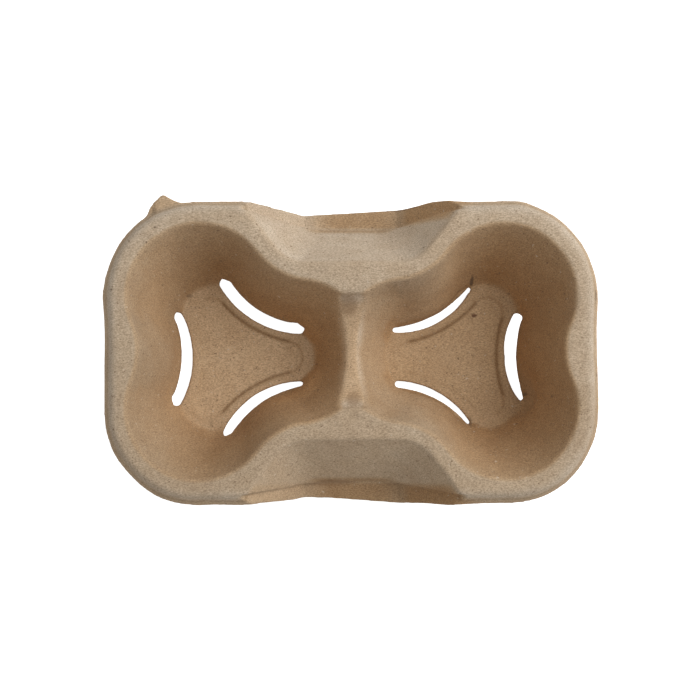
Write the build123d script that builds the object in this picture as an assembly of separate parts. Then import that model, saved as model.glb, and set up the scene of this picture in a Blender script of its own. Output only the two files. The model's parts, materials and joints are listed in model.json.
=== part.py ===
from build123d import *
from math import atan2, cos, degrees, radians, sin, sqrt, tan
import os

# A two-cup carrier tray, moulded in one piece from paper pulp.
# X runs along the tray from cup to cup, Y across it, and Z up from the surface it stands on.
# The pulp is a skin of even thickness, so the tray is what lies between two nested forms.
# The upper form ends at the side that the cups meet, and the lower form ends one skin below.
# Each shape is written once, for any set-back: 0 skins for the upper form, 1 for the lower.

# Whole tray, in millimetres: its height, its skin and the deck left outside the pockets
tray_height = 45.0
skin = 1.8
end_margin = 10.8
side_margin = 11.35
edge_corner_radius = 40.0
skirt_depth = 8.0
skirt_run = 4.2
rim_roll = 3.5

# Cup pockets: three round lobes with an inward nose between each pair, at the rim and the foot
rim_lobe_radius = 30.7
rim_lobe_offset = 28.0
foot_lobe_radius = 17.6
foot_lobe_offset = 17.7
nose_radius = 32.0
pocket_round = 2.6

# The wall of a lobe is a fan of leaning panels that run into each other in rounds
lobe_panels = 6
panel_turn = 32.0
lobe_round = 17.0

# Pocket floor: a ledge along the foot of the wall and a sunken star that the tray stands on
star_depth = 1.2
star_lobe_radius = 7.3
star_lobe_offset = 23.2
star_nose_radius = 54.5

# Slots that let the noses flex, along the foot of each nose, wide in the middle
slot_radius = 42.5
slot_set_in = 2.3
slot_top = 4.0
left_end_slot_width = 5.2
left_far_slot_width = 5.5
left_near_slot_width = 4.6
right_end_slot_width = 5.6
right_far_slot_width = 4.1
right_near_slot_width = 3.1
long_slot_half_angle = 29.0
short_slot_half_angle = 26.5

# Width of a slot's ends, as shares of its middle width, and how far they bow out
square_end = 0.95
blunt_end = 0.75
thin_end = 0.5
sharp_end = 0.1
end_bow = 0.3

# Tears that run on from the ends of slots in the right pocket
tear_width = 0.5
tear_length = 4.5

# Channel that joins the two pockets over the ridge, cut into the crest where their lobes overlap
lobe_overlap = 7.25
ridge_flat = 1.3
channel_inset = 3.7

# Grip scoop in the middle of each long side, from the deck down to a low flange
flange_height = 14.0
flange_width = 8.9
crest_width = 7.0
scoop_corner_radius = 20.0
scoop_turn = 52.0
scoop_round = 2.0

# Ramps that bring the flange up to the rim at both ends of a scoop
flange_overhang = 2.45
ramp_margin = 2.8
ramp_strip_width = 4.0

# Uneven trim of the flange, deepest at its left end
trim_depth = 2.8

# Torn flash on the far left corner: how far it stands along and across from the box corner
flash_thickness = 1.2
flash_root_x = 17.0
flash_root_y = -8.8
flash_tip_x = 25.4
flash_tip_y = 1.8
flash_end_x = 33.0
flash_end_y = -0.8
flash_inset = 4.5

# Room for cuts to run clear of the surface that they open, and the slack of a level test
over = 1.0
level_slack = 0.01


def polar(distance, angle):
    """A point in plan, from its distance and its angle in degrees from +X."""
    return Vector(distance * cos(radians(angle)), distance * sin(radians(angle)))


def lobe_reach(lobe_radius, lobe_offset):
    """How far a lobe reaches from the pocket's centre."""
    return lobe_offset + lobe_round + (lobe_radius - lobe_round) / cos(radians(panel_turn / 2))


def nose_near(lobe_radius, lobe_offset):
    """How near a nose comes to the pocket's centre."""
    flank = lobe_offset * cos(radians(flank_angle)) + lobe_radius
    half_turn = radians(flank_angle - 60)
    return flank / cos(half_turn) + nose_radius * (1 / cos(half_turn) - 1)


# Values worked out from the dimensions above
ledge_top = skin + star_depth
skirt_bottom = tray_height - skirt_depth
flank_angle = (lobe_panels - 1) * panel_turn / 2
rim_reach = lobe_reach(rim_lobe_radius, rim_lobe_offset)
foot_reach = lobe_reach(foot_lobe_radius, foot_lobe_offset)
pocket_x = rim_reach - lobe_overlap
half_length = pocket_x + rim_lobe_offset * cos(radians(60)) + rim_lobe_radius + end_margin
half_width = rim_lobe_offset * sin(radians(60)) + rim_lobe_radius + side_margin
far_y = half_width + 2 * skirt_run
skirt_angle = degrees(atan2(skirt_run, skirt_depth))
skirt_across = skin / cos(radians(skirt_angle))
wall_rise = (tray_height - ledge_top) / (rim_reach - foot_reach)
ridge_turn = atan2(tray_height - ledge_top, rim_reach - foot_reach)
ridge_half = ridge_flat / 2 + pocket_round * tan(ridge_turn / 2)
ridge_height = ledge_top + (pocket_x - foot_reach - ridge_half) * wall_rise
channel_radius = rim_lobe_radius - channel_inset
channel_reach = pocket_x - rim_lobe_offset
nose_to_corner = nose_near(rim_lobe_radius, rim_lobe_offset) + crest_width + scoop_corner_radius
scoop_corner = Vector(pocket_x, 0) + polar(nose_to_corner, 120)
crease_y = half_width - flange_width
flange_half_length = scoop_corner.X + flange_overhang
scoop_run = crease_y - scoop_corner.Y + scoop_corner_radius
side_end = scoop_corner + polar(scoop_corner_radius, scoop_turn - 90)
side_end_x = side_end.X + (half_width - skirt_run - side_end.Y) / tan(radians(scoop_turn))
ramp_end_x = side_end_x + ramp_margin
ramp_angle = atan2(tray_height - flange_height, ramp_end_x - flange_half_length)
slot_centre = nose_near(foot_lobe_radius, foot_lobe_offset) - slot_set_in + slot_radius


def leaning_plane(angle, low_distance, low_z, high_distance, high_z, back):
    """A wall that faces out at an angle in plan and leans, set back square to itself."""
    lean = atan2(high_distance - low_distance, high_z - low_z)
    facing = polar(cos(lean), angle) - Vector(0, 0, sin(lean))
    return Plane(polar(low_distance, angle) + Vector(0, 0, low_z), z_dir=facing).offset(back * skin)


def lobe_form(back):
    """One lobe towards +X from the pocket's centre: a fan of panels with rounds between them."""
    bottom = ledge_top - back * skin
    size = (2 * rim_reach, 4 * rim_reach, tray_height + over - bottom)
    lobe = Pos(0, 0, bottom) * Box(*size, align=(Align.MIN, Align.CENTER, Align.MIN))
    for panel in range(lobe_panels):
        angle = panel * panel_turn - flank_angle
        low = foot_lobe_radius + foot_lobe_offset * cos(radians(angle))
        high = rim_lobe_radius + rim_lobe_offset * cos(radians(angle))
        wall = leaning_plane(angle, low, ledge_top, high, tray_height, back)
        lobe = split(lobe, bisect_by=wall, keep=Keep.BOTTOM)
    uprights = lobe.edges().filter_by(lambda edge: edge.bounding_box().size.Z > tray_height / 2)
    return fillet(uprights.filter_by_position(Axis.X, over, 2 * rim_reach), lobe_round + back * skin)


def star_form(back):
    """The sunken star of the floor: three lobe arcs and three nose arcs, tangent to each other."""
    lobe_radius = star_lobe_radius + back * skin
    nose_radius = star_nose_radius - back * skin
    share = lobe_radius / (lobe_radius + nose_radius)
    across = star_lobe_offset * sin(radians(60))
    nose_offset = star_lobe_offset * cos(radians(60)) + sqrt((lobe_radius + nose_radius) ** 2 - across**2)
    arcs = []
    for turn in (0, 120, 240):
        lobe, next_lobe = polar(star_lobe_offset, turn), polar(star_lobe_offset, turn + 120)
        nose, last_nose = polar(nose_offset, turn + 60), polar(nose_offset, turn - 60)
        start = lobe + (last_nose - lobe) * share
        middle = lobe + (nose - lobe) * share
        end = next_lobe + (nose - next_lobe) * share
        arcs.append(ThreePointArc(start, polar(star_lobe_offset + lobe_radius, turn), middle))
        arcs.append(ThreePointArc(middle, polar(nose_offset - nose_radius, turn + 60), end))
    outline = make_face(Curve() + arcs)
    return Pos(0, 0, ledge_top - star_depth - back * skin) * extrude(outline, star_depth + over)


def pocket_form(back):
    """One pocket with its inner lobe towards +X, set back by a number of skins."""
    lobe = lobe_form(back)
    lobes = [Rot(0, 0, turn) * lobe for turn in (0, 120, 240)]
    bowl = lobes[0] + lobes[1] + lobes[2]
    noses = new_edges(*lobes, combined=bowl)
    return fillet(noses, nose_radius - back * skin) + star_form(back)


def both_pockets(back):
    """The two pockets, mirror images across the ridge."""
    left = Pos(-pocket_x, 0, 0) * pocket_form(back)
    return left + mirror(left, Plane.YZ)


def channel_form(back):
    """Round channel over the ridge, no longer than the lobes that it joins."""
    bar = Cylinder(channel_radius + back * skin, 2 * channel_reach)
    return Pos(0, 0, ridge_height + channel_radius) * Rot(0, 90, 0) * bar


def deck_form(back):
    """Block with the deck on top and the leaning skirt for its sides."""
    inset = back * skirt_across
    length, width = 2 * (half_length - inset), 2 * (half_width - inset)
    outline = Pos(0, 0, skirt_bottom) * RectangleRounded(length, width, edge_corner_radius - inset)
    skirt = extrude(outline, skirt_depth - back * skin, taper=skirt_angle)
    return skirt + extrude(outline, -skirt_bottom - over)


def ramp_corners(lower):
    """Half the side view of the flange and its ramp, set back square to itself by lower."""
    flat_z = flange_height - lower
    foot_x = flange_half_length + lower * (1 - cos(ramp_angle)) / sin(ramp_angle)
    top_z = tray_height + 2 * over
    top_x = foot_x + (top_z - flat_z) / tan(ramp_angle)
    return flat_z, foot_x, top_z, top_x


def ramp_slab(back):
    """All that is above the flange and its ramps, from the middle of the tray outwards."""
    flat_z, foot_x, top_z, top_x = ramp_corners(back * skin)
    side_view = Polyline((-top_x, top_z), (-foot_x, flat_z), (foot_x, flat_z), (top_x, top_z), close=True)
    return extrude(Plane.XZ * make_face(side_view), -far_y)


def flange_form(back):
    """Room above the flange and its ramps on the far side, narrower towards the rim."""
    flat_z, foot_x, top_z, top_x = ramp_corners(back * skin)
    inner_y = crease_y - back * skin
    strip_y = half_width - ramp_strip_width - back * skin
    plan = Polyline(
        (-top_x, far_y), (-top_x, strip_y), (-foot_x, inner_y),
        (foot_x, inner_y), (top_x, strip_y), (top_x, far_y), close=True,
    )
    return ramp_slab(back) & extrude(make_face(plan), top_z)


def scoop_form(back):
    """Far scoop: a leaning back and two flared sides with rounds between, over the flange."""
    bowl = ramp_slab(back)
    for side in (-1, 0, 1):
        angle = side * scoop_turn - 90
        corner = Vector(side * scoop_corner.X, scoop_corner.Y)
        high = corner.dot(polar(1, angle)) + scoop_corner_radius
        wall = leaning_plane(angle, high - scoop_run, flange_height, high, tray_height, back)
        bowl = split(bowl, bisect_by=wall, keep=Keep.BOTTOM)
    uprights = bowl.edges().filter_by(lambda edge: edge.bounding_box().size.Z > flange_height)
    corners = uprights.filter_by_position(Axis.Y, 0, crease_y)
    return fillet(corners, scoop_corner_radius + back * skin) + flange_form(back)


def both_scoops(back):
    """The scoops of the two long sides."""
    far = scoop_form(back)
    return far + mirror(far, Plane.XZ)


def below_edge():
    """Everything under the tray's lower edge, which follows the skirt, the ramps and the flange."""
    flat_z, foot_x, top_z, top_x = ramp_corners(skin)
    meet_x = foot_x + (skirt_bottom - flat_z) / tan(ramp_angle)
    side_x = half_length + over
    side_view = Polyline(
        (-side_x, -over), (side_x, -over), (side_x, skirt_bottom), (meet_x, skirt_bottom),
        (foot_x, flat_z), (-foot_x, flat_z), (-meet_x, skirt_bottom), (-side_x, skirt_bottom), close=True,
    )
    return extrude(Plane.XZ * make_face(side_view), half_width + over, both=True)


def upper_form():
    """The side that the cups meet, with each edge rounded that a hand or a cup passes over."""
    deck = deck_form(0)
    rolled = fillet(deck.edges().group_by(Axis.Z)[-1], rim_roll)
    scoops = both_scoops(0)
    scooped = rolled - scoops
    crests = new_edges(rolled, scoops, combined=scooped)
    crests = crests.filter_by_position(Axis.Z, tray_height - level_slack, tray_height + level_slack)
    rounded = fillet(crests.filter_by_position(Axis.Y, -crease_y, crease_y), scoop_round)
    pockets = both_pockets(0)
    channel = channel_form(0)
    hollowed = rounded - pockets - channel
    return fillet(new_edges(rounded, pockets, channel, combined=hollowed), pocket_round)


def lower_form():
    """The underside, one skin below, and all that is open under the tray's edge."""
    return deck_form(1) - both_scoops(1) + below_edge() - both_pockets(1) - channel_form(1)


def slot(centre_x, nose_angle, width, half_angle, first_end, last_end):
    """One slot along the foot of a nose, cut square through the floor and the wall's foot."""
    centre = polar(slot_centre, nose_angle) + Vector(centre_x, 0)
    facing = nose_angle + 180
    stations = [(-half_angle, first_end), (0, 1), (half_angle, last_end)]
    outer = [centre + polar(slot_radius + share * width / 2, facing + angle) for angle, share in stations]
    inner = [centre + polar(slot_radius - share * width / 2, facing + angle) for angle, share in stations]
    bow = degrees(end_bow * width / slot_radius)
    first_tip = centre + polar(slot_radius, facing - half_angle - bow * first_end)
    last_tip = centre + polar(slot_radius, facing + half_angle + bow * last_end)
    outline = Curve() + [
        ThreePointArc(*outer),
        ThreePointArc(outer[-1], last_tip, inner[-1]),
        ThreePointArc(*inner),
        ThreePointArc(inner[0], first_tip, outer[0]),
    ]
    return extrude(make_face(outline), ledge_top + slot_top)


def all_slots():
    """The six slots, uneven as they were pressed, and wider in the left pocket."""
    long, short = long_slot_half_angle, short_slot_half_angle
    return [
        slot(-pocket_x, 180, left_end_slot_width, long, square_end, blunt_end),
        slot(-pocket_x, 60, left_far_slot_width, long, square_end, square_end),
        slot(-pocket_x, -60, left_near_slot_width, long, thin_end, square_end),
        slot(pocket_x, 0, right_end_slot_width, short, blunt_end, sharp_end),
        slot(pocket_x, 120, right_far_slot_width, short, thin_end, sharp_end),
        slot(pocket_x, -120, right_near_slot_width, short, thin_end, square_end),
    ]


def tear(nose_angle, half_angle, heading):
    """A narrow tear that runs on from one end of a slot in the right pocket."""
    start = polar(slot_centre, nose_angle) + polar(slot_radius, nose_angle + 180 + half_angle)
    blade = Box(2 * tear_length, tear_width, 2 * (ledge_top + slot_top))
    return Pos(pocket_x + start.X, start.Y, 0) * Rot(0, 0, heading) * blade


def all_tears():
    """Tears at the ends of three slots."""
    return [
        tear(120, short_slot_half_angle, 70),
        tear(-120, -short_slot_half_angle, -60),
        tear(0, short_slot_half_angle, -55),
    ]


def trims():
    """What was trimmed off both flanges, deepest at their left ends."""
    plan = Polyline(
        (-ramp_end_x, half_width), (-flange_half_length, half_width - trim_depth),
        (flange_half_length, half_width), (ramp_end_x, far_y), (-ramp_end_x, far_y), close=True,
    )
    far = extrude(make_face(plan), tray_height)
    return [far, mirror(far, Plane.XZ)]


def flash():
    """Torn flash that stands out from the edge of the far left corner."""
    shoulder_x = (flash_root_x + flash_tip_x) / 2
    shoulder_y = (flash_root_y + 3 * flash_tip_y) / 4
    plan = Polyline(
        (flash_root_x, flash_root_y), (shoulder_x, shoulder_y), (flash_tip_x, flash_tip_y),
        (flash_end_x, flash_end_y), (flash_end_x, flash_end_y - flash_inset),
        (flash_root_x + flash_inset, flash_root_y), close=True,
    )
    return Pos(-half_length, half_width, skirt_bottom) * extrude(make_face(plan), flash_thickness)


tray = upper_form() - lower_form() - trims() - all_slots() - all_tears() + flash()

os.makedirs("parts", exist_ok=True)
export_step(tray, "parts/cup_carrier.step")
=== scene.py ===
import json
from itertools import product
from math import cos, radians, sin, sqrt, tan

import bpy
import numpy as np
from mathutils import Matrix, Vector


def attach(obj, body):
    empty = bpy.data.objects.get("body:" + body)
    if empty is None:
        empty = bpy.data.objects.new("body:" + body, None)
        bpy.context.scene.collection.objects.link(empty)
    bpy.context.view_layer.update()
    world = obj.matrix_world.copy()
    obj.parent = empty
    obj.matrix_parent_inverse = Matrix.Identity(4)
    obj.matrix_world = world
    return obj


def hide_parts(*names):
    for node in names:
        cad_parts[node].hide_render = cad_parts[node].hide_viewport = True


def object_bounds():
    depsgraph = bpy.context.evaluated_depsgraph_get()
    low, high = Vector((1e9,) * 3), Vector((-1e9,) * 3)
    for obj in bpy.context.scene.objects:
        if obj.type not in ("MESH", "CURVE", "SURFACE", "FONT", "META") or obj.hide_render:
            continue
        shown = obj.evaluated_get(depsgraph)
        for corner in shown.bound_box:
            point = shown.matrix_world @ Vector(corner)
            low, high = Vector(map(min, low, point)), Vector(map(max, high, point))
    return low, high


# A moulded pulp cup carrier, seen from above on a pale floor

# Lengths are in metres, save where a comment or a docstring says millimetres.

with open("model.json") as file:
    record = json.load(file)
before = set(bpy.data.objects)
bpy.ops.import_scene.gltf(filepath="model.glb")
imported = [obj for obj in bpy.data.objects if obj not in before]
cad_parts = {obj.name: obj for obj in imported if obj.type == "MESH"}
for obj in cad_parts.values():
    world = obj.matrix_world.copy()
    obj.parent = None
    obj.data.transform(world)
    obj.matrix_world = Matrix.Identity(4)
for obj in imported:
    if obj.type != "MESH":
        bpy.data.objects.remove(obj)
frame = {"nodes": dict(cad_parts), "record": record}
cad_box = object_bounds()

VOXEL = 0.00055
TRIANGLES = 190000
SMOOTH_ROUNDS = 6
FLOOR_GAP = 0.0001


# Mesh of the tray: the solid's own surface, cut fine, softened and made uneven like felted pulp


def evaluated(obj):
    """The object's mesh with its modifiers applied."""
    graph = bpy.context.evaluated_depsgraph_get()
    return bpy.data.meshes.new_from_object(obj.evaluated_get(graph))


def linked(name, data):
    """A new object in the scene."""
    obj = bpy.data.objects.new(name, data)
    bpy.context.scene.collection.objects.link(obj)
    return obj


def fine_copy(node, name):
    """A fine even mesh of a CAD node, with its edges softened."""
    draft = linked(name + "_draft", frame["nodes"][node].data.copy())
    voxels = draft.modifiers.new("voxels", "REMESH")
    voxels.mode = "VOXEL"
    voxels.voxel_size = VOXEL
    soften = draft.modifiers.new("soften", "SMOOTH")
    soften.factor = 0.5
    soften.iterations = SMOOTH_ROUNDS
    mesh = evaluated(draft)
    bpy.data.objects.remove(draft)
    mesh.name = name
    mesh.materials.clear()
    return linked(name, mesh)


def lightened(obj):
    """Takes the triangles off a mesh of quads that its shape can spare."""
    lighten = obj.modifiers.new("lighten", "DECIMATE")
    lighten.ratio = TRIANGLES / (2 * len(obj.data.polygons))
    heavy = obj.data
    obj.data = evaluated(obj)
    obj.modifiers.clear()
    obj.data.name = heavy.name
    bpy.data.meshes.remove(heavy)


def vectors_of(mesh, kind):
    """The places ("co") or the normals ("normal") of the mesh's vertices, one to a row."""
    values = np.zeros(3 * len(mesh.vertices), np.float32)
    mesh.vertices.foreach_get(kind, values)
    return values.reshape(-1, 3).astype(float)


def set_places(mesh, places):
    """Moves the mesh's vertices to those places."""
    mesh.vertices.foreach_set("co", places.astype(np.float32).ravel())
    mesh.update()


# Large odd numbers that scatter the corners of the noise's lattice
SCATTER = (73856093, 19349663, 83492791)
SEED_SCATTER = 2654435761
LAST_SCATTER = 1274126177


def lattice_noise(points, cell, seed):
    """Smooth noise from -1 to 1 on a lattice of that cell size."""
    scaled = points / cell
    corner = np.floor(scaled).astype(np.int64)
    part = scaled - corner
    part = part * part * (3 - 2 * part)
    total = np.zeros(len(points))
    for step in product((0, 1), repeat=3):
        x, y, z = ((corner + step) * SCATTER).T
        mixed = x ^ y ^ z ^ (seed * SEED_SCATTER)
        mixed = ((mixed ^ (mixed >> 13)) * LAST_SCATTER) & 0xFFFFFFFF
        value = (mixed >> 8) / 2**23 - 1
        total += value * np.where(step, part, 1 - part).prod(axis=1)
    return total


def smooth_rise(value, low, high):
    """0 below low, 1 above high and a smooth rise between them."""
    part = np.clip((value - low) / (high - low), 0, 1)
    return part * part * (3 - 2 * part)


def smooth_fall(value, low, high):
    """1 below low, 0 above high and a smooth fall between them."""
    return 1 - smooth_rise(value, low, high)


def bell(value, width):
    """1 at 0, with a soft fall on both sides."""
    return np.exp(-((value / width) ** 2))


def turned(x, y, angle):
    """That vector turned by an angle in radians."""
    return x * np.cos(angle) - y * np.sin(angle), x * np.sin(angle) + y * np.cos(angle)


# The tray's main sizes in millimetres and degrees, from the frame or as its solid has them

# FOOT and RIM each give a lobe's radius and how far its centre lies from the pocket's middle, and so
# does STAR_LOBE for the sunken star, whose noses have the radius STAR_NOSE. LOBE_SPAN is how far a
# lobe reaches round on either side, and PANEL_HALF is half of one of its panels.

SEAT = next(mount for mount in frame["record"]["mounts"] if mount["name"] == "right_seat")
POCKET_X = 1000 * SEAT["pos_m"][0]
TOP = 1000 * cad_box[1][2]
HALF_LENGTH = 1000 * cad_box[1][0]
HALF_WIDTH = -1000 * cad_box[0][1]
EDGE_ROUND = 40.0
FOOT = (17.6, 17.7)
RIM = (30.7, 28.0)
LOBE_TURN = 120
LOBE_SPAN = 80
LOBE_ROUND = 17.0
PANEL_HALF = 16
NOSE_ROUND = 32.0
LEDGE_TOP = 3.0
STAR_LOBE = (7.3, 23.2)
STAR_NOSE = 54.5
SLOT_CENTRE = 64.25
SLOT_RADIUS = 42.5


def folded(points):
    """Each point's place in its pocket, with the three lobes folded into one: how high up the wall
    it lies from 0 to 1, then how far ahead and aside of the pocket's middle, seen along the lobe."""
    x, y, z = points.T
    rise = np.clip((z - LEDGE_TOP) / (TOP - LEDGE_TOP), 0, 1)
    across = POCKET_X - np.abs(x)
    distance = np.hypot(across, y)
    turn = (np.degrees(np.arctan2(y, across)) + LOBE_TURN / 2) % LOBE_TURN - LOBE_TURN / 2
    return rise, distance * np.cos(np.radians(turn)), distance * np.sin(np.radians(turn))


def lobe_at(rise):
    """A lobe's radius that high up the wall, and how far its centre lies from the pocket's middle."""
    return [foot + (rim - foot) * rise for foot, rim in zip(FOOT, RIM)]


def wall_out(rise, ahead, aside):
    """Distance out from the pocket's wall, for a folded place."""
    radius, offset = lobe_at(rise)
    angle = np.degrees(np.arctan2(aside, ahead - offset))
    flank = offset * cos(radians(LOBE_SPAN)) + radius
    nose = (flank + NOSE_ROUND) / cos(radians(LOBE_SPAN - LOBE_TURN / 2))
    nose_ahead, nose_aside = nose * cos(radians(LOBE_TURN / 2)), nose * sin(radians(LOBE_TURN / 2))
    from_lobe = np.hypot(ahead - offset, aside) - radius
    from_nose = NOSE_ROUND - np.hypot(ahead - nose_ahead, np.abs(aside) - nose_aside)
    return np.where(np.abs(angle) < LOBE_SPAN, from_lobe, from_nose)


def star_out(ahead, aside):
    """Distance out from the sunken star's outline, whose nose arcs touch its lobe arcs, for a
    folded place."""
    aside = np.abs(aside)
    radius, offset = STAR_LOBE
    half_turn = radians(LOBE_TURN / 2)
    nose = offset * cos(half_turn) + sqrt((radius + STAR_NOSE) ** 2 - (offset * sin(half_turn)) ** 2)
    nose_ahead, nose_aside = nose * cos(half_turn), nose * sin(half_turn)
    from_lobe = np.hypot(ahead - offset, aside) - radius
    from_nose = STAR_NOSE - np.hypot(ahead - nose_ahead, aside - nose_aside)
    on_lobe = (nose_ahead - offset) * aside < nose_aside * (ahead - offset)
    return np.where(on_lobe, from_lobe, from_nose)


def rounded_lobes(points):
    """Makes each lobe's fan of panels fully round, by moves of a third of a millimetre at most."""
    rise, ahead, aside = folded(points)
    radius, offset = lobe_at(rise)
    out = wall_out(rise, ahead, aside)
    heading = np.arctan2(points[:, 1], POCKET_X - np.abs(points[:, 0])) - np.arctan2(aside, ahead)
    ahead = ahead - offset
    angle = np.arctan2(aside, ahead)
    half = radians(PANEL_HALF)
    from_corner = np.abs((angle + half) % (2 * half) - half)
    flat = np.arctan((radius - LOBE_ROUND) * tan(half) / radius)
    arc = (radius - LOBE_ROUND) / cos(half)
    on_arc = arc * np.cos(from_corner) + np.sqrt(LOBE_ROUND**2 - (arc * np.sin(from_corner)) ** 2)
    on_panel = radius / np.cos(half - from_corner)
    stands = np.where(from_corner < half - flat, on_arc, on_panel) - radius
    mean = (arc - (radius - LOBE_ROUND)) / 2
    share = smooth_fall(np.abs(np.degrees(angle)), 62, 82) * smooth_fall(np.abs(out - 1), 3.5, 6.0)
    share = share * smooth_rise(rise, 0.0, 0.05) * (1 - smooth_rise(points[:, 2], 43.0, 44.9) / 2)
    part = share * (mean - stands) / np.maximum(np.hypot(ahead, aside), 1)
    dx, dy = turned(part * ahead, part * aside, heading)
    moved = points.copy()
    moved[:, 0] -= np.sign(points[:, 0]) * dx
    moved[:, 1] += dy
    return moved


# Slots: how far each one's edges and ends lie from the even arc, as they were pressed and torn

# Each row gives the side of its pocket, the heading of its nose and the half angle, then the moves
# of the inner and the outer edge at the first end, middle and last end in millimetres, and those of
# both ends in degrees.

SLOTS = [
    (-1, 180, 29.0, (-0.7, -0.8, -0.3), (-0.7, -1.0, -0.6), -0.8, -1.7),
    (-1, 60, 29.0, (0.7, 0.6, 0.5), (0.9, 0.4, -0.1), -1.8, -2.4),
    (-1, -60, 29.0, (0.9, 0.4, -0.4), (0.9, 0.2, -0.8), 2.0, 1.7),
    (1, 0, 26.5, (0.4, 0.2, -1.1), (0.5, -0.5, 0.8), 0.8, 2.9),
    (1, 120, 26.5, (0.6, 1.0, -0.1), (1.0, 0.1, 0.6), -3.2, 1.0),
    (1, -120, 26.5, (0.0, 0.4, 0.4), (0.1, 0.0, 0.6), 2.5, 1.5),
]

# How far a slot's even edges lie from its arc, and where its first end, middle and last end lie
SLOT_EDGE = 2.5
STATIONS = (-1, 0, 1)


def slot_place(points, side, heading):
    """Where each point lies from the centre of a slot's arc, the angle along the arc from its
    middle, and the distance from its centre."""
    x = points[:, 0] - side * POCKET_X - SLOT_CENTRE * cos(radians(heading))
    y = points[:, 1] - SLOT_CENTRE * sin(radians(heading))
    along = (np.degrees(np.arctan2(y, x)) - heading) % 360 - 180
    return x, y, along, np.hypot(x, y)


def uneven_slots(points):
    """Moves the edges and ends of the slots, fading into the floor and the wall's foot."""
    moved = points.copy()
    for side, heading, half, inner, outer, first, last in SLOTS:
        x, y, along, reach = slot_place(points, side, heading)
        station = along / half
        share = smooth_rise(reach, SLOT_RADIUS - SLOT_EDGE, SLOT_RADIUS + SLOT_EDGE)
        move = np.interp(station, STATIONS, inner) * (1 - share)
        move = move + np.interp(station, STATIONS, outer) * share
        near = smooth_fall(np.abs(reach - SLOT_RADIUS), 3.5, 8.5)
        near = near * smooth_fall(np.abs(along), half + 3, half + 12)
        near = near * smooth_fall(points[:, 2], 9.0, 18.0)
        turn = np.where(along < 0, first, last) * smooth_rise(np.abs(along), 6, half)
        far = 1 + move * near / reach
        new_x, new_y = turned(x * far, y * far, np.radians(turn * near))
        moved[:, 0] += new_x - x
        moved[:, 1] += new_y - y
    return moved


def slot_lips(points, normals):
    """The rounded lips of the slots."""
    lip = np.zeros(len(points))
    for side, heading, half, *_ in SLOTS:
        *_, along, reach = slot_place(points, side, heading)
        near = smooth_fall(np.abs(reach - SLOT_RADIUS), SLOT_EDGE, SLOT_EDGE + 2)
        lip = np.maximum(lip, near * smooth_fall(np.abs(along), half, half + 3))
    leaning = smooth_fall(normals[:, 2], 0.72, 0.97) * (normals[:, 2] > 0)
    return lip * leaning * smooth_fall(points[:, 2], 4.0, 6.0)


# Bulges and dents of the outline: place, move and reach in millimetres

DENTS = [
    (-107.0, 25.0, -0.8, 0.0, 12.0),
    (-82.0, 67.0, -0.3, 1.0, 4.0),
    (-86.0, 62.0, -0.5, 0.4, 4.0),
    (74.0, 65.5, 0.2, 0.6, 10.0),
    (37.0, 65.0, 0.0, 0.9, 11.0),
    (106.0, 24.0, 0.6, 0.0, 15.0),
    (-95.0, -53.0, 0.5, 0.5, 25.0),
    (-28.0, -64.0, 0.0, -0.8, 12.0),
    (43.0, -66.0, 0.0, -0.4, 10.0),
]


def patch(points, x, y, reach):
    """A soft round patch on the tray, seen from above."""
    return np.exp(-((points[:, 0] - x) ** 2 + (points[:, 1] - y) ** 2) / (0.5 * reach**2))


def dented(points):
    """Moves the tray's outer edge a little, each move fading over its reach."""
    moved = points.copy()
    for x, y, dx, dy, reach in DENTS:
        near = patch(points, x, y, reach)
        moved[:, 0] += near * dx
        moved[:, 1] += near * dy
    return moved


# Tones: how each zone of the tray is worn and lit

# A layer says where it lies, how much it turns grey (below 0: browner) and how much lighter it is; the
# zones use this for painted light and painted shade as well as for the pulp's own tone. Places and soft
# edges are in millimetres.

# What a full step of greying does to the brown pulp's red, green and blue: it turns paler and greyer
GREYING = (1.10, 1.25, 1.50)

# How far out along y a scoop's panel gives way to its flange, and where the crease between them lies
SCOOP_LINE = (56.5, 58.5)
CREASE_Y = 55.8

# Heights of the line where the rim's roll ends and of the skirt's lowest part
ROLL_END_Z = 40.8
SKIRT_FOOT_Z = 3

# Headings of the noses of the left and the right pocket beside which the star groove's painted shade is
# weak
WEAK_NOSES = (180, -120)


def facing_up(normals):
    """How far each point faces up, from 0 to 1."""
    return smooth_rise(normals[:, 2], -0.15, 0.2)


def grip_zones(points, normals):
    """The low flanges and the leaning panels of the two grip scoops."""
    x, y, z = points.T
    across, along = np.abs(x), np.abs(y)
    out = wall_out(*folded(points))
    beside = facing_up(normals) * smooth_rise(out, 4.0, 7.0) * smooth_fall(z, 42.0, 44.6)
    flange = beside * smooth_rise(along, *SCOOP_LINE) * smooth_fall(across, 44.0, 52.0)
    panel = beside * smooth_fall(along, *SCOOP_LINE) * smooth_fall(across, 40.0, 50.0)
    return flange, panel


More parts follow.
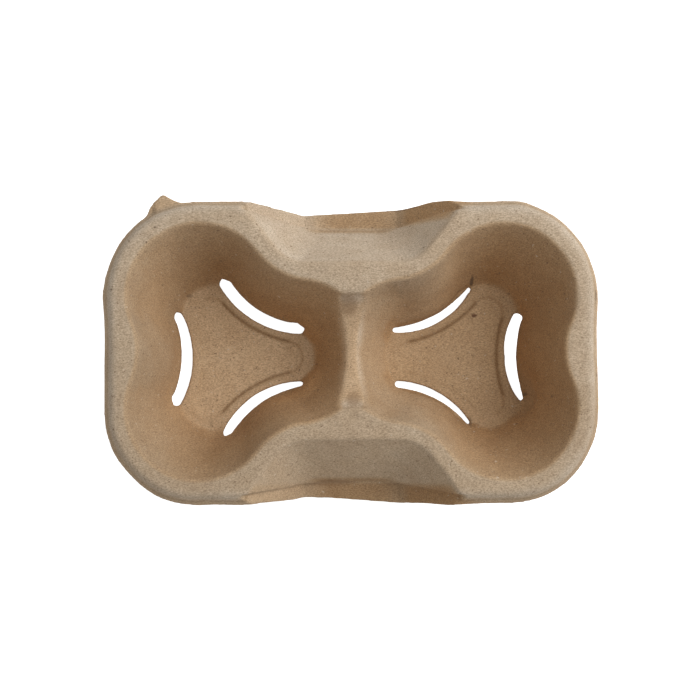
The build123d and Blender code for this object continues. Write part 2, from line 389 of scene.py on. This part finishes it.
def pocket_layers(points, normals):
    """Walls with painted shade, browner towards the foot, on each pocket's right side and in patches, and
    greyer with painted light on the left side, over a floor paler with painted light, with a painted
    shadow at the right pocket's right end, a dark star groove of painted shade and slot lips darkened with
    painted shade.
    """
    x, y, z = points.T
    rise, ahead, aside = folded(points)
    pocket = facing_up(normals) * smooth_fall(wall_out(rise, ahead, aside), -0.8, 1.3)
    floor = pocket * smooth_fall(z, 3.2, 7.0)
    wall = pocket - floor
    heading = np.arctan2(y, x - np.sign(x) * POCKET_X)
    east = np.cos(heading)
    weak_nose = np.cos(heading - np.radians(np.where(x < 0, *WEAK_NOSES))) > 0.5
    # the star's groove: a dark line of painted shade along the sunken star's step
    groove = floor * bell(star_out(ahead, aside), 0.9) * np.where(weak_nose, 0.3, 1.0)
    groove = groove * (1 - 0.8 * smooth_rise(1.2 * (ahead - 19) - np.abs(aside), -1.5, 1.5))
    return [
        (wall, 0.9, -0.1),
        # browner towards the foot: painted shade deep in the pocket
        (wall * (1 - rise), -1.3, 0.15),
        # painted shade and light by side: walls on each pocket's right side browner, those on its left
        # greyer
        (wall * (x > 0) * east, -1.1, 0.05),
        (wall * (x < 0) * east, -0.6, 0.15),
        # patches of painted shade on lobe walls turned away from the lamp
        (wall * patch(points, -59.0, 38.0, 11.0), -0.9, -0.2),
        (wall * patch(points, -61.0, -45.0, 9.0), -0.7, -0.15),
        (wall * patch(points, 64.0, 41.0, 14.0), -0.7, -0.1),
        # floors paler with painted light, the left floor most
        (floor * (x < 0), 0.7, 0.15),
        (floor * (x > 0), 0.5, 0.05),
        # painted shadow on the right pocket's floor under its right wall
        (floor * smooth_rise(x, 55.0, 75.0), -0.2, -0.05),
        # painted shade in the star's groove
        (groove, -0.6, -0.4),
        # slot lips darkened with painted shade
        (slot_lips(points, normals), -0.9, -0.15),
    ]


def grip_layers(points, normals):
    """Grip scoops: panels greyer, the far one lighter with painted light and the near one darker with
    painted shade; flanges brown with a painted shadow on the near one; painted shade in the creases and on
    the ramps; and painted light on the left ends of the flanges.
    """
    x, y, z = points.T
    across, along = np.abs(x), np.abs(y)
    far, near = y > 0, y < 0
    up = facing_up(normals)
    flange, panel = grip_zones(points, normals)
    # painted light on the left ends of the flanges, which face the lamp
    lit_left_end = smooth_rise(-x, 6.0, 22.0)
    # painted shade in the crease between each panel and its flange
    crease = up * bell(along - CREASE_Y, 1.2) * smooth_fall(z, 15.5, 20.0)
    crease = crease * smooth_fall(across, 24.0, 34.0)
    # painted shade on the ramps at the right, which face away from the lamp
    ramp = up * smooth_rise(along, 57.0, 60.5) * smooth_rise(z, 15.0, 20.0) * smooth_fall(z, 38.0, 44.5)
    ramp = ramp * smooth_rise(x, 2.0, 24.0) * smooth_fall(x, 48.0, 56.0)
    return [
        # panels: painted light on the far one, which faces the lamp, painted shade on the near one
        (panel * far, 1.9, 0.05),
        (panel * near, 1.3, -0.05),
        # flanges: the near one darker with the tray's painted shadow
        (flange * far, 0.4, -0.05),
        (flange * near, 0.0, -0.2),
        # painted light on the flanges' left ends
        (flange * far * lit_left_end, 1.4, 0.1),
        (flange * near * lit_left_end, 0.9, 0.15),
        (flange * smooth_rise(x, 12.0, 26.0), 0.7, 0.1),
        (crease, -1.2, -0.15),
        (ramp, -1.1, 0.0),
    ]


def rim_layers(points, normals):
    """A rim and ridge that turn greyer, most on top, with painted light on the rim's far side and painted
    shade on its near side, a skirt lightened with painted light, and a dark line of painted shade where
    the roll ends.
    """
    x, y, z = points.T
    across, along = np.abs(x), np.abs(y)
    up = facing_up(normals)
    out = wall_out(*folded(points))
    flange, panel = grip_zones(points, normals)
    rim = up * smooth_rise(out, -0.2, 2.0) * (1 - np.clip(panel + flange, 0, 1))
    past_x = np.maximum(across - (HALF_LENGTH - EDGE_ROUND), 0)
    past_y = np.maximum(along - (HALF_WIDTH - EDGE_ROUND), 0)
    from_corner = np.hypot(past_x, past_y)
    ridge = up * smooth_fall(across, 3.0, 8.0) * smooth_fall(along, 26.0, 38.0)
    ridge = ridge * smooth_rise(z, 22.0, 28.0) * smooth_fall(z, 41.0, 44.0)
    # the skirt, which faces sideways, lightened with painted light
    skirt = (1 - up) * smooth_rise(out, 3.0, 6.0) * (z > SKIRT_FOOT_Z) * (from_corner > 30)
    # a dark line of painted shade where the rim's roll ends
    roll_end = bell(z - ROLL_END_Z, 0.6) * smooth_rise(from_corner, 33.0, 35.0)
    return [
        (rim * smooth_rise(z, 36.0, 41.0), 0.9, 0.0),
        (rim * smooth_rise(z, 41.0, 44.0), 0.6, -0.05),
        (rim * smooth_rise(from_corner, 31.5, 37.5), 0.5, 0.0),
        # painted light on the far side of the rim, painted shade on the near side
        (rim * y / HALF_WIDTH, 0.1, 0.05),
        (ridge, 1.0, 0.15),
        (skirt, 1.3, 0.2),
        (roll_end, -0.4, -0.25),
    ]


def pulp_layers(points):
    """Clouds, blotches and flecks of the pulp itself."""
    return [
        (lattice_noise(points, 26.0, 11), 0.1, 0.0),
        (lattice_noise(points, 9.0, 12), 0.1, 0.02),
        (lattice_noise(points, 3.2, 13), 0.1, 0.03),
    ]


def toned(points, normals):
    """The tone of each point in red, green and blue, from the layers that lie over it."""
    layers = pocket_layers(points, normals) + grip_layers(points, normals)
    layers += rim_layers(points, normals) + pulp_layers(points)
    greyed = sum(share * grey_step for share, grey_step, _ in layers)
    light = sum(share * lighter for share, _, lighter in layers)
    return np.exp(greyed[:, None] * np.log(GREYING) + light[:, None])


# The tray itself

# Waves of the felt: height and length in metres, and a seed
FELT_WAVES = [(0.00022, 0.021, 1), (0.00010, 0.0075, 2), (0.00006, 0.0030, 3), (0.00005, 0.0015, 4)]

tray = fine_copy("cup_carrier", "pulp_tray")
places = dented(uneven_slots(rounded_lobes(1000 * vectors_of(tray.data, "co"))))
set_places(tray.data, places / 1000)
places, normals = vectors_of(tray.data, "co"), vectors_of(tray.data, "normal")
push = sum(height * lattice_noise(places, length, seed) for height, length, seed in FELT_WAVES)
set_places(tray.data, places + normals * push[:, None])
lightened(tray)
places, normals = vectors_of(tray.data, "co"), vectors_of(tray.data, "normal")
places[:, 2] = np.clip(places[:, 2], FLOOR_GAP, TOP / 1000)
set_places(tray.data, places)
tray.data.polygons.foreach_set("use_smooth", np.ones(len(tray.data.polygons), bool))
# The tone holds the pulp's own clouds together with the zones' painted light and shade.
tone = tray.data.attributes.new("tone", "FLOAT_VECTOR", "POINT")
tone.data.foreach_set("vector", toned(1000 * places, normals).astype(np.float32).ravel())

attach(tray, "root")
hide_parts("cup_carrier")


# Materials


def new_material(name):
    """A material with an empty node tree."""
    material = bpy.data.materials.new(name)
    material.use_nodes = True
    material.node_tree.nodes.clear()
    return material, material.node_tree


def add(tree, kind, inputs=None, **settings):
    """Adds a node. An input that is another node's socket is linked."""
    node = tree.nodes.new(kind)
    for key, value in settings.items():
        setattr(node, key, value)
    for key, value in (inputs or {}).items():
        if isinstance(value, bpy.types.NodeSocket):
            tree.links.new(value, node.inputs[key])
        else:
            node.inputs[key].default_value = value
    return node


def noise(tree, place, scale, detail, rough, distort=0.0):
    """Noise of that scale, at those places."""
    values = {"Vector": place, "Scale": scale, "Detail": detail, "Roughness": rough, "Distortion": distort}
    return add(tree, "ShaderNodeTexNoise", values).outputs["Fac"]


def ramp(tree, source, *stops):
    """A colour that goes from the first stop to the second. A stop is a position and a colour."""
    node = add(tree, "ShaderNodeValToRGB", {"Fac": source})
    for element, (position, color) in zip(node.color_ramp.elements, stops):
        element.position = position
        element.color = (*color, 1.0)
    return node.outputs["Color"]


def mask(tree, source, *stops):
    """A strength that goes from the first stop to the second."""
    return ramp(tree, source, *[(position, (strength,) * 3) for position, strength in stops])


def mix(tree, blend, share, under, over):
    """A colour over another. The share and the upper colour may be plain values."""
    if not isinstance(over, bpy.types.NodeSocket):
        over = (*over, 1.0)
    values = {0: share, 6: under, 7: over}
    return add(tree, "ShaderNodeMix", values, data_type="RGBA", blend_type=blend).outputs[2]


BROWN, PALE_BROWN = (0.400, 0.246, 0.126), (0.430, 0.270, 0.140)
DARK_GRAIN, PALE_GRAIN = (0.60, 0.57, 0.54), (1.40, 1.43, 1.46)
DARK_SPECK, PALE_SPECK = (0.20, 0.13, 0.075), (0.60, 0.50, 0.38)
# chip colour, also used for a mark of painted shade on the far flange
CHIP_AND_SHADE = (0.12, 0.055, 0.03)
# dirt colour, also used for a mark of painted shade in the left floor's corner
DIRT_AND_SHADE = (0.13, 0.085, 0.05)
# brown for marks of painted shade and a painted shadow
SHADE_BROWN = (0.24, 0.14, 0.07)
RUST = (0.36, 0.20, 0.09)
PALE = (0.55, 0.46, 0.35)

# Marks: name, place and size in millimetres, colour and strength. Five of them are painted shade: two on
# the ridge, two on the flanges and one in the left floor's corner.

MARKS = [
    ("chip in the right floor", (57.5, 19.0, 4.0), (1.8, 1.2, 6.0), CHIP_AND_SHADE, 0.9),
    ("rusty tinge at the far slot's end", (22.5, 14.5, 5.0), (2.2, 1.4, 6.0), RUST, 0.6),
    ("rusty wall over the end slot", (78.0, -19.0, 14.0), (9.0, 5.0, 14.0), RUST, 0.3),
    ("hook at the far slot's end", (56.0, 34.5, 6.0), (1.1, 3.0, 9.0), DIRT_AND_SHADE, 0.85),
    ("tear over the end slot", (81.0, 20.0, 5.0), (1.8, 0.6, 6.0), DIRT_AND_SHADE, 0.6),
    ("tear under the end slot", (80.0, -17.5, 5.0), (1.8, 1.0, 5.0), DIRT_AND_SHADE, 0.6),
    ("ragged end of the near slot", (55.0, -30.5, 4.0), (1.0, 3.6, 5.0), DIRT_AND_SHADE, 0.45),
    # painted shade at the foot of the left pocket's wall
    ("painted shade in the left floor's corner", (-73.5, 28.0, 5.0), (1.9, 0.9, 6.0), DIRT_AND_SHADE, 0.5),
    ("crease in the left floor", (-63.5, -30.5, 4.0), (0.9, 3.6, 6.0), DIRT_AND_SHADE, 0.25),
    ("dark cut beside the flash", (-86.0, 62.5, 42.0), (1.8, 3.6, 7.0), DIRT_AND_SHADE, 0.5),
    ("fleck on the far left rim", (-85.0, 53.5, 44.0), (0.7, 0.6, 4.0), DIRT_AND_SHADE, 0.8),
    ("second fleck on the far left rim", (-88.5, 47.0, 44.0), (0.6, 0.6, 4.0), DIRT_AND_SHADE, 0.8),
    ("fleck on the left end", (-103.5, 26.5, 43.0), (0.6, 0.6, 5.0), DIRT_AND_SHADE, 0.8),
    ("long chip on the right end", (106.5, 24.0, 42.0), (0.8, 4.5, 5.0), DIRT_AND_SHADE, 0.6),
    ("short chip on the right end", (106.5, -10.5, 42.0), (0.8, 1.6, 5.0), DIRT_AND_SHADE, 0.7),
    # painted shade on the ridge's far and near shoulders
    ("painted shade on the ridge's far part", (-1.5, 21.0, 33.0), (5.0, 6.5, 20.0), SHADE_BROWN, 0.5),
    ("painted shade on the ridge's near part", (0.5, -21.0, 33.0), (4.0, 4.5, 20.0), SHADE_BROWN, 0.5),
    # a painted shadow on the near flange below its panel
    ("painted shadow in the near flange", (-9.0, -57.0, 14.0), (13.0, 2.2, 4.0), SHADE_BROWN, 0.55),
    # painted shade along the far flange's outer edge where it climbs
    ("painted shade on the far flange's edge", (23.0, 66.2, 16.0), (16.0, 1.0, 12.0), CHIP_AND_SHADE, 0.55),
    ("bump on the far rim", (69.5, 66.0, 44.0), (1.2, 1.0, 4.0), PALE, 0.5),
]

# How much the grain frays a mark's edge, and how far the mark's size counts towards that edge
MARK_FRAY = 0.4
MARK_REACH = 0.75


def marked(tree, color, place, grain, name, where, size, paint, strength):
    """That colour with a small stain, chip, spot or patch of painted shade on it: an ellipsoid of that
    place and size.
    """
    middle = tuple(v / 1000 for v in where)
    shrinking = tuple(1000 * MARK_REACH / v for v in size)
    shift = add(tree, "ShaderNodeVectorMath", {0: place, 1: middle}, operation="SUBTRACT", label=name)
    shrink = add(tree, "ShaderNodeVectorMath", {0: shift.outputs[0], 1: shrinking}, operation="MULTIPLY")
    reach = add(tree, "ShaderNodeVectorMath", {0: shrink.outputs[0]}, operation="LENGTH")
    frayed = {0: grain, 1: MARK_FRAY, 2: reach.outputs["Value"]}
    edge = add(tree, "ShaderNodeMath", frayed, operation="MULTIPLY_ADD")
    return mix(tree, "MIX", mask(tree, edge.outputs[0], (0.62, strength), (0.95, 0.0)), color, paint)


def pulp_material():
    """A matt grey-brown felt of short fibres, with specks of darker and paler waste paper."""
    material, tree = new_material("pulp")
    place = add(tree, "ShaderNodeTexCoord").outputs["Object"]
    streaks = add(tree, "ShaderNodeMapping", {"Vector": place, "Scale": (0.6, 1.15, 1.0)})
    cloud = noise(tree, place, scale=55.0, detail=3.0, rough=0.55)
    grain = noise(tree, streaks.outputs["Vector"], scale=1950.0, detail=3.0, rough=0.7)
    dark = noise(tree, place, scale=850.0, detail=1.0, rough=0.4)
    light = noise(tree, place, scale=760.0, detail=1.0, rough=0.4, distort=0.6)
    felt = noise(tree, place, scale=1050.0, detail=4.0, rough=0.65, distort=0.4)
    tones = add(tree, "ShaderNodeAttribute", attribute_name="tone").outputs["Color"]
    color = ramp(tree, cloud, (0.3, BROWN), (0.7, PALE_BROWN))
    # the tone attribute multiplies in the zones' painted light and shade
    color = mix(tree, "MULTIPLY", 1.0, color, tones)
    color = mix(tree, "MULTIPLY", 0.9, color, ramp(tree, grain, (0.32, DARK_GRAIN), (0.68, PALE_GRAIN)))
    color = mix(tree, "MIX", mask(tree, dark, (0.705, 0.0), (0.755, 0.85)), color, DARK_SPECK)
    color = mix(tree, "MIX", mask(tree, light, (0.72, 0.0), (0.80, 0.7)), color, PALE_SPECK)
    for row in MARKS:
        color = marked(tree, color, place, grain, *row)
    bump = add(tree, "ShaderNodeBump", {"Height": felt, "Strength": 0.55, "Distance": 0.0003})
    skin = add(tree, "ShaderNodeBsdfPrincipled", {"Roughness": 0.92, "Specular IOR Level": 0.35})
    tree.links.new(color, skin.inputs["Base Color"])
    tree.links.new(bump.outputs["Normal"], skin.inputs["Normal"])
    add(tree, "ShaderNodeOutputMaterial", {"Surface": skin.outputs["BSDF"]})
    return material


def floor_material():
    """Matt pale grey that keeps the tray's shadow and is lifted to white where it is seen."""
    material, tree = new_material("floor")
    rays = add(tree, "ShaderNodeLightPath").outputs
    direct = {0: rays["Is Camera Ray"], 1: rays["Is Glossy Ray"]}
    seen = add(tree, "ShaderNodeMath", direct, operation="MAXIMUM")
    through = {0: seen.outputs[0], 1: rays["Is Transmission Ray"]}
    seen_at_all = add(tree, "ShaderNodeMath", through, operation="MAXIMUM")
    matt = add(tree, "ShaderNodeBsdfDiffuse", {"Color": (0.80, 0.80, 0.80, 1.0)})
    black = add(tree, "ShaderNodeEmission", {"Color": (0.0, 0.0, 0.0, 1.0), "Strength": 0.0})
    glow = add(tree, "ShaderNodeEmission", {"Color": (1.0, 1.0, 1.0, 1.0), "Strength": 0.9})
    lift = {0: seen_at_all.outputs[0], 1: black.outputs[0], 2: glow.outputs[0]}
    lifted = add(tree, "ShaderNodeMixShader", lift)
    both = add(tree, "ShaderNodeAddShader", {0: matt.outputs[0], 1: lifted.outputs[0]})
    add(tree, "ShaderNodeOutputMaterial", {"Surface": both.outputs[0]})
    return material


tray.data.materials.append(pulp_material())


# Floor, light and camera

FLOOR_HALF = 3
FLOOR_CORNERS = [(x * FLOOR_HALF, y * FLOOR_HALF, 0) for x, y in ((-1, -1), (1, -1), (1, 1), (-1, 1))]

floor_mesh = bpy.data.meshes.new("floor")
floor_mesh.from_pydata(FLOOR_CORNERS, [], [(0, 1, 2, 3)])
floor_mesh.materials.append(floor_material())
floor = linked("floor", floor_mesh)

world = bpy.data.worlds.new("studio")
bpy.context.scene.world = world
world.use_nodes = True
background = world.node_tree.nodes["Background"]
background.inputs["Color"].default_value = (1.0, 1.0, 1.0, 1.0)
background.inputs["Strength"].default_value = 0.48

LAMP_PLACE = (1.02, 0.41, 1.02)
LAMP_AIM = (0.0, 0.0, 0.02)

lamp = bpy.data.lights.new("key", "AREA")
lamp.shape = "DISK"
lamp.size = 1.3
lamp.energy = 17.0
key = linked("key", lamp)
key.location = LAMP_PLACE
key.rotation_mode = "QUATERNION"
key.rotation_quaternion = (Vector(LAMP_AIM) - Vector(LAMP_PLACE)).to_track_quat("-Z", "Y")

camera = bpy.data.cameras.new("camera")
camera.lens = 72.74
camera.sensor_width = 36.0
camera.clip_start = 0.01
camera.clip_end = 20.0
eye = linked("camera", camera)
eye.location = (-0.01718, -0.04135, 0.65100)
eye.rotation_mode = "YXZ"
eye.rotation_euler = (radians(3.932), radians(-1.506), radians(-0.1445))
bpy.context.scene.camera = eye

bpy.context.scene.view_settings.view_transform = "Standard"
